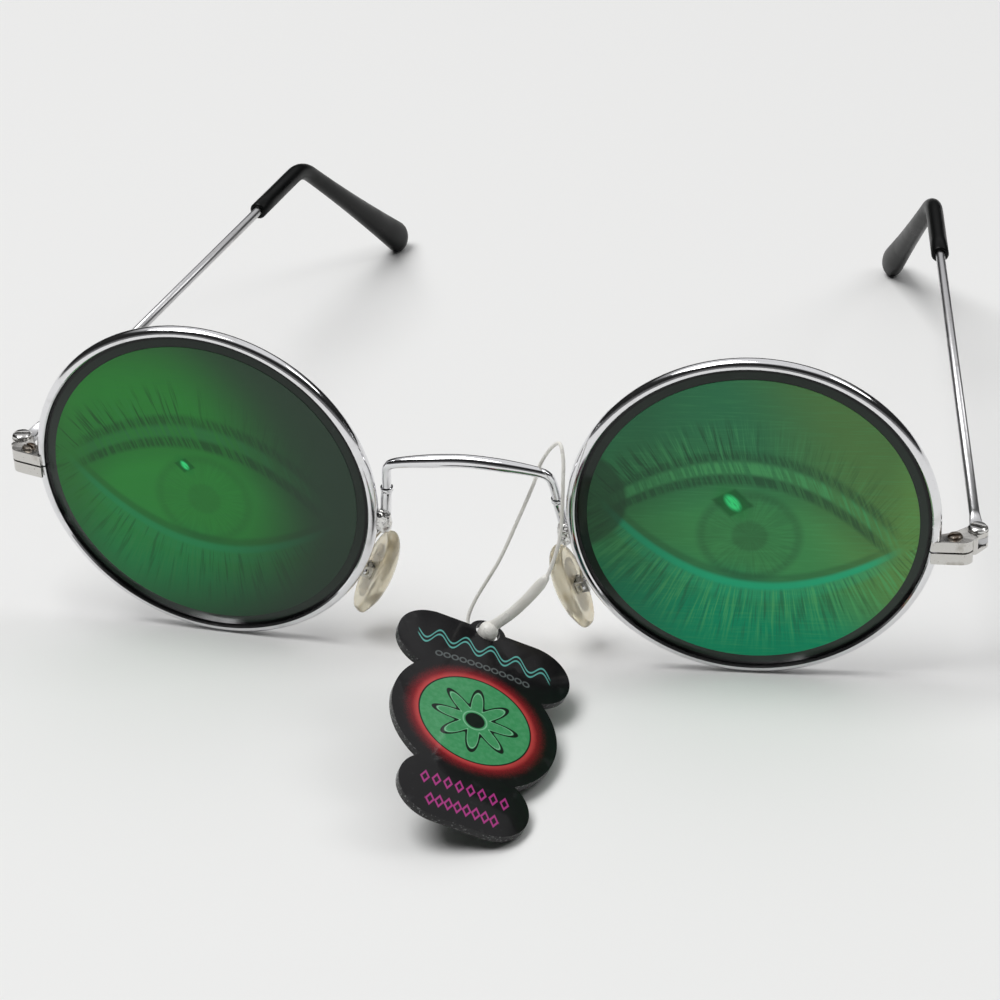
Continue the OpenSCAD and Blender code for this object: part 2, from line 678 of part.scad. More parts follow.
module tag_loop_band() {
    path = curve(BAND_ROUTE, 4);
    n = len(path) - 1;
    half_w = [for (i = [0 : n]) band_w / 2 - (i < 2 ? (2 - i) * (band_w - loop_d) / 6 : 0)];
    half_t = [for (p = path) band_t / 2];
    color([0.93, 0.93, 0.9]) translate([0, -middle_y, 0])
        sweep(path, half_w, half_t, [0.25, -1, 0.35], 12);
}

module tag_loop_lock() {
    color([0.93, 0.93, 0.9]) at_tag() translate([0, tag_hole_y, 0]) {
        cylinder(r = lock_r, h = tag_t + 0.3, center = true);
        translate([0, 0, tag_t / 2 + 0.15]) sphere(r = lock_r, $fn = 32);
    }
}

rim(LEFT);  // rim_left
rim(RIGHT);  // rim_right
lens(LEFT);  // lens_left
lens(RIGHT);  // lens_right
picture_film(LEFT);  // picture_film_left
picture_film(RIGHT);  // picture_film_right
bridge();
bridge_braze();
pad_arm(LEFT);  // pad_arm_left
pad_arm(RIGHT);  // pad_arm_right
pad_insert(LEFT);  // pad_insert_left
pad_insert(RIGHT);  // pad_insert_right
nose_pad(LEFT);  // nose_pad_left
nose_pad(RIGHT);  // nose_pad_right
end_piece(LEFT);  // end_piece_left
end_piece(RIGHT);  // end_piece_right
rim_lock_block(LEFT);  // rim_lock_block_left
rim_lock_block(RIGHT);  // rim_lock_block_right
rim_lock_screws();
hinge_screw(LEFT);  // hinge_screw_left
hinge_screw(RIGHT);  // hinge_screw_right
temple_wire(LEFT);  // temple_wire_left
temple_wire(RIGHT);  // temple_wire_right
temple_tip(LEFT);  // temple_tip_left
temple_tip(RIGHT);  // temple_tip_right
hang_tag();
tag_loop();
tag_loop_band();
tag_loop_lock();
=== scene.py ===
"""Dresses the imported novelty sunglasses: camera, studio, finishes and finer pieces."""

from __future__ import annotations

import functools
import logging
import math
from dataclasses import dataclass, field
from enum import Enum
from typing import Optional, Sequence, Union
import bmesh
import bpy
from mathutils import Matrix, Vector, noise


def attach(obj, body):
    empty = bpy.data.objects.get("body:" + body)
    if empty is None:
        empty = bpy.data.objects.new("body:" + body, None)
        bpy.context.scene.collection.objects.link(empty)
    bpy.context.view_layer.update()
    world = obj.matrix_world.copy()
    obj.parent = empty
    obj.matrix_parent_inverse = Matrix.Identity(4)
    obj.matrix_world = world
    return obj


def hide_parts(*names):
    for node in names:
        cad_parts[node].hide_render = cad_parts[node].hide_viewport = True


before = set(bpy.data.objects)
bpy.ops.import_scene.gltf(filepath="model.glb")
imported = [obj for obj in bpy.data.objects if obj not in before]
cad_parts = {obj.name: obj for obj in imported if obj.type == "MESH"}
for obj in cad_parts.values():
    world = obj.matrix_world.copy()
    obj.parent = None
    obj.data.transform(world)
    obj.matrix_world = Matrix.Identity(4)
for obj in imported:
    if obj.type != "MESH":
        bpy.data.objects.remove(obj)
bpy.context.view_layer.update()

log = logging.getLogger("sunglasses")
MM = 0.001
Number = Union[float, bpy.types.NodeSocket]
Colour = tuple[float, float, float]
Tint = Union[Colour, bpy.types.NodeSocket]


class Side(Enum):
    """The wearer's left and right."""

    LEFT = 1
    RIGHT = -1

    @property
    def word(self) -> str:
        """The ending of the names of this side's pieces."""
        return self.name.lower()


def srgb(red: float, green: float, blue: float) -> Colour:
    """A colour as a screen shows it, turned linear.

    Args:
        red: 0 to 255.
        green: 0 to 255.
        blue: 0 to 255.

    Returns:
        The linear colour.
    """

    def linear(c: float) -> float:
        """One channel, 0 to 1."""
        return c / 12.92 if c <= 0.04045 else ((c + 0.055) / 1.055) ** 2.4

    return (linear(red / 255), linear(green / 255), linear(blue / 255))


def turn(degrees: float, axis: str) -> Matrix:
    """A rotation about a main axis.

    Args:
        degrees: the angle.
        axis: X, Y or Z.

    Returns:
        The 4 by 4 matrix.
    """
    return Matrix.Rotation(math.radians(degrees), 4, axis)


def shift(x: float, y: float, z: float) -> Matrix:
    """A move in millimetres.

    Args:
        x: millimetres along X.
        y: millimetres along Y.
        z: millimetres along Z.

    Returns:
        The 4 by 4 matrix, in metres.
    """
    return Matrix.Translation(Vector((x, y, z)) * MM)


@dataclass(frozen=True)
class Places:
    """Where the sub-assemblies sit, in the same sizes as the part's source."""

    middle_y: float = 66.0926
    front_h: float = 24.051
    front_lean: float = 5.0
    half_pitch: float = 36.8
    rim_set: float = 0.7
    wrap: float = 4.0
    tag_at: tuple[float, float, float] = (4.8, -25.1, 6.5)
    tag_tilt: tuple[float, float, float] = (9.0, 24.5, 10.0)

    def front(self) -> Matrix:
        """The frame of the leaning front."""
        return shift(0, -self.middle_y, self.front_h) @ turn(self.front_lean, "X")

    def lens(self, side: Side) -> Matrix:
        """The frame of a lens: x outwards, y back, z up.

        Args:
            side: the wearer's side.

        Returns:
            The matrix from the lens to the part.
        """
        mirror = Matrix.Diagonal((side.value, 1, 1, 1))
        return self.front() @ shift(side.value * self.half_pitch, self.rim_set, 0) @ mirror @ turn(self.wrap, "Z")

    def tag(self) -> Matrix:
        """The frame of the tag: x across, y up the tag, z out of its printed face.

        Returns:
            The matrix from the tag to the part.
        """
        x, y, z = self.tag_tilt
        at = (self.tag_at[0], self.tag_at[1] - self.middle_y, self.tag_at[2])
        return shift(*at) @ turn(z, "Z") @ turn(y, "Y") @ turn(x, "X")


PLACES = Places()


class Graph:
    """The nodes of one material, with short calls for what the finishes need."""

    def __init__(self, name: str) -> None:
        """Starts an empty material with one principled shader.

        Args:
            name: the material's name.
        """
        self.material = bpy.data.materials.new(name)
        self.material.use_nodes = True
        self.nodes = self.material.node_tree.nodes
        self.links = self.material.node_tree.links
        self.nodes.clear()
        out = self.nodes.new("ShaderNodeOutputMaterial")
        self.shader = self.nodes.new("ShaderNodeBsdfPrincipled")
        self.links.new(self.shader.outputs[0], out.inputs[0])
        self.place = self.nodes.new("ShaderNodeTexCoord").outputs["Object"]

    def put(self, socket: bpy.types.NodeSocket, value: object) -> None:
        """Links or sets a socket.

        Args:
            socket: the input.
            value: a socket, a number, a vector or a colour.
        """
        if isinstance(value, bpy.types.NodeSocket):
            self.links.new(value, socket)
        elif socket.type == "RGBA":
            socket.default_value = (*value[:3], 1.0)
        else:
            socket.default_value = value

    def set(self, **values: object) -> None:
        """Sets the shader's inputs.

        Args:
            values: input names in lower case with underscores, and their values.
        """
        names = {k.name.lower().replace(" ", "_"): k for k in self.shader.inputs}
        for key, value in values.items():
            self.put(names[key], value)

    def math(self, operation: str, *args: Number) -> bpy.types.NodeSocket:
        """A Math node.

        Args:
            operation: Blender's name of the operation.
            args: the operands.

        Returns:
            The result's socket.
        """
        node = self.nodes.new("ShaderNodeMath")
        node.operation = operation
        for socket, value in zip(node.inputs, args):
            self.put(socket, value)
        return node.outputs[0]

    def add(self, *args: Number) -> bpy.types.NodeSocket:
        """The sum of two or more values."""
        return functools.reduce(functools.partial(self.math, "ADD"), args)

    def times(self, *args: Number) -> bpy.types.NodeSocket:
        """The product of two or more values."""
        return functools.reduce(functools.partial(self.math, "MULTIPLY"), args)

    def less(self, a: Number, b: Number) -> bpy.types.NodeSocket:
        """a minus b."""
        return self.math("SUBTRACT", a, b)

    def size(self, value: Number) -> bpy.types.NodeSocket:
        """A value without its sign."""
        return self.math("ABSOLUTE", value)

    def radius(self, x: Number, y: Number) -> bpy.types.NodeSocket:
        """The distance of a point from where x and y are 0."""
        return self.math("SQRT", self.add(self.times(x, x), self.times(y, y)))

    def remap(self, value: Number, low: float, high: float, a: float = 0.0, b: float = 1.0) -> bpy.types.NodeSocket:
        """A smooth step from a at low to b at high.

        Args:
            value: what is mapped.
            low: where the step starts.
            high: where it ends.
            a: the result below low.
            b: the result above high.

        Returns:
            The result's socket.
        """
        node = self.nodes.new("ShaderNodeMapRange")
        node.interpolation_type = "SMOOTHSTEP"
        for socket, v in zip(node.inputs, (value, low, high, a, b)):
            self.put(socket, v)
        return node.outputs[0]

    def line(self, distance: Number, half: float, soft: float) -> bpy.types.NodeSocket:
        """A soft-edged line: 1 where the distance is under half, 0 past half plus soft."""
        return self.remap(self.size(distance), half, half + soft, 1.0, 0.0)

    def along(self, origin: Vector, axis: Vector) -> bpy.types.NodeSocket:
        """The distance along an axis from an origin, in millimetres.

        Args:
            origin: the start, in metres.
            axis: a unit vector.

        Returns:
            The distance's socket.
        """
        minus = self.nodes.new("ShaderNodeVectorMath")
        minus.operation = "SUBTRACT"
        self.put(minus.inputs[0], self.place)
        minus.inputs[1].default_value = origin
        dot = self.nodes.new("ShaderNodeVectorMath")
        dot.operation = "DOT_PRODUCT"
        self.put(dot.inputs[0], minus.outputs[0])
        dot.inputs[1].default_value = Vector(axis) / MM
        return dot.outputs["Value"]

    def facing(self, axis: Vector) -> bpy.types.NodeSocket:
        """How far the surface's own normal points along an axis.

        Args:
            axis: a unit vector.

        Returns:
            The share's socket, 1 where the surface faces along the axis.
        """
        geometry = self.nodes.new("ShaderNodeNewGeometry")
        dot = self.nodes.new("ShaderNodeVectorMath")
        dot.operation = "DOT_PRODUCT"
        self.put(dot.inputs[0], geometry.outputs["Normal"])
        dot.inputs[1].default_value = axis
        return dot.outputs["Value"]

    def point(self, x: Number, y: Number, z: Number = 0.0) -> bpy.types.NodeSocket:
        """A vector from three values.

        Args:
            x: the first value.
            y: the second value.
            z: the third value.

        Returns:
            The vector's socket.
        """
        node = self.nodes.new("ShaderNodeCombineXYZ")
        for socket, value in zip(node.inputs, (x, y, z)):
            self.put(socket, value)
        return node.outputs[0]

    def noise(self, vector: bpy.types.NodeSocket, scale: float, detail: float = 2.0,
              rough: float = 0.5) -> bpy.types.NodeSocket:
        """A noise value about 0.5.

        Args:
            vector: where it is read.
            scale: its fineness.
            detail: its octaves.
            rough: how strong the fine octaves are.

        Returns:
            The value's socket.
        """
        node = self.nodes.new("ShaderNodeTexNoise")
        self.put(node.inputs["Vector"], vector)
        node.inputs["Scale"].default_value = scale
        node.inputs["Detail"].default_value = detail
        node.inputs["Roughness"].default_value = rough
        return node.outputs[0]

    def cells(self, vector: bpy.types.NodeSocket, scale: float) -> bpy.types.NodeSocket:
        """A random value for each of many small cells.

        Args:
            vector: where it is read.
            scale: the count of cells per unit.

        Returns:
            The value's socket.
        """
        node = self.nodes.new("ShaderNodeTexVoronoi")
        self.put(node.inputs["Vector"], vector)
        node.inputs["Scale"].default_value = scale
        split = self.nodes.new("ShaderNodeSeparateColor")
        self.put(split.inputs[0], node.outputs["Color"])
        return split.outputs[0]

    def mix(self, factor: Number, a: Tint, b: Tint) -> bpy.types.NodeSocket:
        """A colour between two others.

        Args:
            factor: 0 for the first, 1 for the second.
            a: the first colour.
            b: the second colour.

        Returns:
            The colour's socket.
        """
        node = self.nodes.new("ShaderNodeMix")
        node.data_type = "RGBA"
        self.put(node.inputs[0], factor)
        self.put(node.inputs[6], a)
        self.put(node.inputs[7], b)
        return node.outputs[2]

    def bump(self, height: Number, strength: float, distance_mm: float) -> None:
        """Gives the shader's normal a relief.

        Args:
            height: the relief, 0 to 1.
            strength: 0 to 1.
            distance_mm: the relief's depth.
        """
        node = self.nodes.new("ShaderNodeBump")
        node.inputs["Strength"].default_value = strength
        node.inputs["Distance"].default_value = distance_mm * MM
        self.put(node.inputs["Height"], height)
        self.set(normal=node.outputs[0])


@dataclass(frozen=True)
class PlatedMetal:
    """Bright plating over wire or pressed metal, with fine scratches and dull patches."""

    name: str
    tint: Colour = srgb(232, 232, 234)
    dull_tint: Colour = srgb(178, 176, 172)
    roughness: float = 0.07
    wear: float = 0.35
    stain: Optional[Colour] = None
    grain: float = 900.0

    def make(self) -> bpy.types.Material:
        """Builds the material.

        Returns:
            The material.
        """
        g = Graph(self.name)
        patches = g.remap(g.noise(g.place, 260.0, 4.0, 0.6), 0.52, 0.72)
        specks = g.remap(g.noise(g.place, 2400.0, 3.0, 0.6), 0.62, 0.74)
        dull = g.math("MAXIMUM", g.times(patches, self.wear), g.times(specks, self.wear * 0.8))
        colour = g.mix(dull, self.tint, self.dull_tint)
        if self.stain is not None:
            spots = g.remap(g.noise(g.place, 1300.0, 3.0, 0.6), 0.50, 0.64)
            colour = g.mix(g.times(spots, 0.75), colour, self.stain)
        fine = g.noise(g.place, self.grain, 5.0, 0.65)
        g.set(base_color=colour, metallic=1.0)
        g.set(roughness=g.add(self.roughness, g.times(dull, 0.35), g.times(fine, 0.05)))
        g.bump(fine, 0.12, 0.01)
        return g.material


@dataclass(frozen=True)
class SolderMetal:
    """Lumpy grey solder with flux stains."""

    name: str = "solder"
    tint: Colour = srgb(228, 227, 225)
    stain: Colour = srgb(112, 98, 84)

    def make(self) -> bpy.types.Material:
        """Builds the material.

        Returns:
            The material.
        """
        g = Graph(self.name)
        lumps = g.noise(g.place, 900.0, 4.0, 0.6)
        spots = g.remap(g.noise(g.place, 1500.0, 2.0), 0.56, 0.68)
        g.set(base_color=g.mix(g.times(spots, 0.6), self.tint, self.stain), metallic=1.0)
        g.set(roughness=g.remap(lumps, 0.3, 0.7, 0.1, 0.3))
        g.bump(lumps, 0.8, 0.16)
        return g.material


@dataclass(frozen=True)
class SatinPlastic:
    """Black plastic with a soft sheen, faint moulding texture and dust."""

    name: str = "tip_plastic"
    tint: Colour = srgb(11, 12, 12)
    dust: Colour = srgb(46, 47, 46)
    roughness: float = 0.3

    def make(self) -> bpy.types.Material:
        """Builds the material.

        Returns:
            The material.
        """
        g = Graph(self.name)
        cloud = g.noise(g.place, 120.0, 4.0, 0.6)
        specks = g.remap(g.noise(g.place, 3200.0, 2.0), 0.66, 0.74)
        dust = g.math("MAXIMUM", g.remap(cloud, 0.55, 0.8, 0.0, 0.18), g.times(specks, 0.35))
        g.set(base_color=g.mix(dust, self.tint, self.dust))
        g.set(roughness=g.add(self.roughness, g.remap(cloud, 0.3, 0.7, -0.05, 0.1)))
        g.set(specular_ior_level=0.12)
        g.bump(g.noise(g.place, 1800.0, 3.0), 0.12, 0.02)
        return g.material


@dataclass(frozen=True)
class ClearPlastic:
    """Clear or milky soft plastic, slightly yellowed, with a faint haze."""

    name: str
    tint: Colour = srgb(240, 230, 205)
    haze: Colour = srgb(205, 190, 160)
    clear: float = 0.8
    roughness: float = 0.12
    relief: float = 0.25

    def make(self) -> bpy.types.Material:
        """Builds the material.

        Returns:
            The material.
        """
        g = Graph(self.name)
        cloud = g.noise(g.place, 420.0, 3.0, 0.55)
        g.set(base_color=g.mix(g.remap(cloud, 0.4, 0.75, 0.0, 0.8), self.tint, self.haze))
        g.set(roughness=g.remap(cloud, 0.3, 0.7, self.roughness, self.roughness + 0.12))
        g.set(transmission_weight=self.clear, ior=1.46)
        g.bump(cloud, self.relief, 0.08)
        return g.material


@dataclass(frozen=True)
class DarkLens:
    """Flat dark lens plastic; the band where it sits in the rim is painted black: painted shadow of the rim's groove
    over the lens's dark bevel edge.
    """

    side: Side
    tint: Colour = srgb(46, 58, 50)
    # painted shadow: the near-black colour of the lens band inside the rim's groove
    edge: Colour = srgb(9, 10, 10)
    seat_r: float = 22.7

    def make(self) -> bpy.types.Material:
        """Builds the material.

        Returns:
            The material.
        """
        g = Graph(f"dark_lens_{self.side.word}")
        at = PLACES.lens(self.side)
        u = g.along(at.translation, at.col[0].xyz.normalized())
        v = g.along(at.translation, at.col[2].xyz.normalized())
        # Painted shadow: the lens turns near black where it sits in the rim's groove.
        seat_shadow = g.remap(g.radius(u, v), self.seat_r - 0.35, self.seat_r)
        dust = g.remap(g.noise(g.place, 900.0, 4.0, 0.7), 0.62, 0.78)
        shade = g.mix(g.remap(v, -22.0, 22.0, 0.0, 0.35), self.tint, srgb(34, 42, 38))
        colour = g.mix(g.times(dust, 0.12), shade, srgb(120, 126, 122))
        g.set(base_color=g.mix(seat_shadow, colour, self.edge))
        g.set(roughness=g.remap(g.noise(g.place, 240.0, 3.0), 0.3, 0.7, 0.10, 0.2))
        g.set(specular_ior_level=0.28)
        g.bump(g.noise(g.place, 90.0, 2.0), 0.03, 0.1)
        return g.material


@dataclass(frozen=True)
class EyePicture:
    """A picture film with a plain drawn eye: almond lids, a round iris and fine lashes."""

    side: Side
    # painted shade: the dull greyish green that the picture fades to towards the nose
    grey: Colour = srgb(58, 78, 64)
    tilt: float = 9.0
    half_length: float = 18.5
    drop: float = 1.6
    lid_rise: float = 8.3
    lid_drop: float = 8.3
    crease: float = 3.2
    iris_r: float = 6.9
    iris_low: float = 0.6
    pupil_r: float = 2.7
    glint_at: tuple[float, float] = (-2.9, 4.1)
    glint_tilt: tuple[float, float] = (0.9, 0.28)

    def tints(self) -> dict[str, Colour]:
        """The film's greens on this side; on the right film the far tint is painted shade, the dull fade towards the
        nose.

        Returns:
            The colours by their use.
        """
        if self.side is Side.RIGHT:
            return {
                "mid": srgb(56, 152, 68), "top": srgb(60, 168, 68), "low": srgb(42, 144, 82),
                "far": srgb(58, 84, 66), "light": srgb(60, 146, 82), "lid": srgb(48, 154, 96),
                "dark": srgb(36, 68, 46),
            }
        return {
            "mid": srgb(74, 162, 94), "top": srgb(60, 148, 100), "low": srgb(2, 166, 118),
            "far": srgb(118, 160, 82), "light": srgb(98, 204, 124), "lid": srgb(34, 200, 146),
            "dark": srgb(42, 78, 56),
        }

    def make(self) -> bpy.types.Material:
        """Builds the material.

        Returns:
            The material.
        """
        g = Graph(f"eye_picture_{self.side.word}")
        at = PLACES.lens(self.side)
        across = at.col[0].xyz.normalized() * self.side.value
        up = at.col[2].xyz.normalized()
        t = math.radians(self.tilt)
        u = g.along(at.translation, across)
        v = g.along(at.translation, up)
        a = g.along(at.translation, across * math.cos(t) - up * math.sin(t))
        b = g.add(g.along(at.translation, across * math.sin(t) + up * math.cos(t)), self.drop)
        colour = self.field(g, u, v)
        colour = self.lids(g, a, b, colour)
        colour = self.iris(g, a, b, colour)
        colour = self.lashes(g, a, b, colour)
        colour = self.glint(g, a, b, colour)
        colour = self.painted_nasal_shade(g, u, v, colour)
        g.set(base_color=colour, specular_ior_level=0.2)
        grain = g.noise(g.point(g.times(u, 0.25), g.times(v, 6.0)), 1.2, 3.0)
        g.set(roughness=g.remap(grain, 0.3, 0.7, 0.38, 0.52))
        g.bump(grain, 0.06, 0.02)
        return g.material

    def arch(self, g: Graph, a: Number) -> bpy.types.NodeSocket:
        """The curve of a lid: 1 at the eye's middle and 0 at its corners.

        Args:
            g: the material's nodes.
            a: millimetres along the eye.

        Returns:
            The curve's socket.
        """
        share = g.math("DIVIDE", a, self.half_length)
        return g.less(1.0, g.times(share, share))

    def field(self, g: Graph, u: Number, v: Number) -> bpy.types.NodeSocket:
        """The soft green ground of the film.

        Args:
            g: the material's nodes.
            u: millimetres across the film.
            v: millimetres up the film.

        Returns:
            The colour's socket.
        """
        c = self.tints()
        cloud = g.noise(g.point(g.times(u, 0.05), g.times(v, 0.07)), 2.0, 2.0)
        colour = g.mix(g.remap(g.add(v, g.times(cloud, 8.0)), 2.0, 20.0), c["mid"], c["top"])
        low = g.remap(g.add(v, g.times(u, 0.25), g.times(cloud, 6.0)), -14.0, -2.0, 1.0, 0.0)
        colour = g.mix(low, colour, c["low"])
        # Towards larger u the far tint takes over: on the right film this is painted shade, the dull fade towards the
        # nose; on the left film it is a paler green.
        far = g.remap(g.add(g.times(u, 0.9), g.times(v, 0.35)), 3.0, 17.0)
        colour = g.mix(g.times(far, 0.75), colour, c["far"])
        streak = g.noise(g.point(g.times(u, 0.16), g.times(v, 3.0)), 1.0, 3.0, 0.6)
        return g.mix(g.remap(streak, 0.45, 0.75, 0.0, 0.22), colour, c["light"])

    def lids(self, g: Graph, a: Number, b: Number, colour: Tint) -> bpy.types.NodeSocket:
        """The two lids with their edges and the crease over the upper one.

        Args:
            g: the material's nodes.
            a: millimetres along the eye.
            b: millimetres up across the eye.
            colour: what is under it.

        Returns:
            The colour's socket.
        """
        c = self.tints()
        arch = self.arch(g, a)
        up = g.less(b, g.times(arch, self.lid_rise))
        low = g.add(b, g.times(arch, self.lid_drop))
        ends = g.remap(g.size(a), 15.0, 20.5, 1.0, 0.0)
        hatch = g.noise(g.point(g.add(g.times(a, 1.1), g.times(b, 0.55)), g.times(b, 0.08)), 2.2, 2.0)
        fold = g.times(g.line(g.less(up, 1.5), 0.7, 0.8), ends)
        colour = g.mix(g.times(fold, g.remap(hatch, 0.42, 0.62, 0.15, 0.85)), colour, c["light"])
        strands = g.remap(hatch, 0.38, 0.60, 0.35, 1.0)
        colour = g.mix(g.times(g.line(g.add(up, 0.3), 0.35, 0.9), ends, strands, 0.68), colour, c["dark"])
        colour = g.mix(g.times(g.line(g.less(up, self.crease), 0.25, 1.1), ends, strands, 0.6), colour, c["dark"])
        inner = g.times(g.remap(up, -5.5, -0.5), g.remap(low, 0.0, 3.0), ends)
        colour = g.mix(g.times(inner, 0.28), colour, c["dark"])
        colour = g.mix(g.times(g.line(g.less(low, 1.1), 0.3, 0.8), ends, 0.35), colour, c["dark"])
        colour = g.mix(g.times(g.line(low, 0.22, 0.75), ends, 0.8), colour, c["lid"])
        return g.mix(g.times(g.line(g.add(low, 1.2), 0.5, 1.3), ends, 0.35), colour, c["lid"])

    def iris(self, g: Graph, a: Number, b: Number, colour: Tint) -> bpy.types.NodeSocket:
        """A round iris with rays and a round pupil, cut by the lids.

        Args:
            g: the material's nodes.
            a: millimetres along the eye.
            b: millimetres up across the eye.
            colour: what is under it.

        Returns:
            The colour's socket.
        """
        c = self.tints()
        down = g.add(b, self.iris_low)
        r = g.radius(a, down)
        angle = g.math("ARCTAN2", down, a)
        rays = g.noise(g.point(g.times(angle, 9.0), g.times(r, 0.2)), 1.6, 2.0)
        arch = self.arch(g, a)
        strength = 1.0 if self.side is Side.LEFT else 0.55
        seen = g.remap(g.less(b, g.times(arch, self.lid_rise)), -1.6, -0.5, strength, 0.0)
        disc = g.times(g.remap(r, self.iris_r - 0.6, self.iris_r, 1.0, 0.0), seen)
        colour = g.mix(g.times(disc, g.remap(rays, 0.35, 0.65, 0.06, 0.24)), colour, c["dark"])
        edge = g.times(g.line(g.less(r, self.iris_r - 0.5), 0.2, 0.8), seen)
        colour = g.mix(g.times(edge, 0.22), colour, c["dark"])
        pupil = g.times(g.remap(r, self.pupil_r - 0.7, self.pupil_r, 1.0, 0.0), seen)
        return g.mix(g.times(pupil, 0.28), colour, srgb(44, 66, 50))

    def lashes(self, g: Graph, a: Number, b: Number, colour: Tint) -> bpy.types.NodeSocket:
        """Fine lashes that fan out under the lower lid and over the upper one.

        Args:
            g: the material's nodes.
            a: millimetres along the eye.
            b: millimetres up across the eye.
            colour: what is under it.

        Returns:
            The colour's socket.
        """
        c = self.tints()
        arch = self.arch(g, a)
        below = g.times(g.add(b, g.times(arch, self.lid_drop)), -1.0)
        lower = g.math("ARCTAN2", a, g.less(17.0, b))
        strands = g.noise(g.point(g.times(lower, 34.0), g.times(below, 0.05)), 1.5, 2.0, 0.7)
        reach = g.times(g.remap(below, 0.2, 1.2), g.remap(below, 5.0, 12.0, 1.0, 0.0))
        colour = g.mix(g.times(reach, g.remap(strands, 0.50, 0.64, 0.0, 0.5)), colour, c["light"])
        colour = g.mix(g.times(reach, g.remap(strands, 0.36, 0.49, 0.42, 0.0)), colour, c["dark"])
        above = g.less(b, g.add(g.times(arch, self.lid_rise), 2.2))
        upper = g.math("ARCTAN2", g.less(a, 5.0), g.add(b, 15.0))
        hairs = g.noise(g.point(g.times(upper, 40.0), g.times(above, 0.05)), 1.5, 2.0, 0.7)
        tuft = g.times(g.remap(above, 0.0, 0.8), g.remap(above, 3.5, 8.0, 1.0, 0.0),
                       g.remap(a, 2.0, -8.0, 0.35, 1.0))
        colour = g.mix(g.times(tuft, g.remap(hairs, 0.38, 0.47, 0.62, 0.0)), colour, c["dark"])
        return g.mix(g.times(tuft, g.remap(hairs, 0.54, 0.64, 0.0, 0.3)), colour, c["light"])

    def glint(self, g: Graph, a: Number, b: Number, colour: Tint) -> bpy.types.NodeSocket:
        """A small bright point of light over the iris, in a dark lozenge.

        Args:
            g: the material's nodes.
            a: millimetres along the eye.
            b: millimetres up across the eye.
            colour: what is under it.

        Returns:
            The colour's socket.
        """
        size = 1.2 if self.side is Side.LEFT else 0.65
        x = g.less(a, self.glint_at[0])
        y = g.less(b, self.glint_at[1])
        s = g.add(x, y)
        d = g.less(x, y)
        lozenge = g.add(g.size(x), g.times(g.size(y), 1.25))
        dark = g.remap(lozenge, 1.9 * size, 2.6 * size, 1.0, 0.0)
        colour = g.mix(g.times(dark, 0.6), colour, srgb(20, 62, 34))
        spot = g.math("SQRT", g.add(g.times(s, s, self.glint_tilt[0]), g.times(d, d, self.glint_tilt[1])))
        stripe = g.noise(g.point(g.times(s, 2.0), g.times(d, 0.2)), 2.0, 1.0)
        bright = g.times(g.remap(spot, 0.5 * size, 1.15 * size, 1.0, 0.0), g.remap(stripe, 0.35, 0.5, 0.6, 1.0))
        halo = g.remap(spot, 0.6 * size, 2.6 * size, 0.45, 0.0)
        colour = g.mix(halo, colour, srgb(20, 140, 62))
        return g.mix(bright, colour, srgb(70, 255, 150))

    def painted_nasal_shade(self, g: Graph, u: Number, v: Number, colour: Tint) -> bpy.types.NodeSocket:
        """Painted shade: the picture darkens to a dull greyish green towards the nose, with a dark arc at the nasal
        edge of the left film and a darker outer edge on the right film.

        Args:
            g: the material's nodes.
            u: millimetres across the film.
            v: millimetres up the film.
            colour: what is under it.

        Returns:
            The colour's socket.
        """
        if self.side is Side.RIGHT:
            r = g.radius(g.add(u, 9.0), g.less(v, 1.0))
            colour = g.mix(g.remap(u, -21.0, -12.0, 0.5, 0.0), colour, srgb(56, 98, 58))
            return g.mix(g.remap(r, 12.0, 29.0), colour, self.grey)
        r = g.radius(g.add(u, 24.0), g.less(v, 3.0))
        colour = g.mix(g.remap(r, 7.4, 8.3, 0.7, 0.0), colour, srgb(46, 70, 54))
        return g.mix(g.remap(u, -20.0, -4.0, 0.45, 0.0), colour, srgb(50, 80, 60))


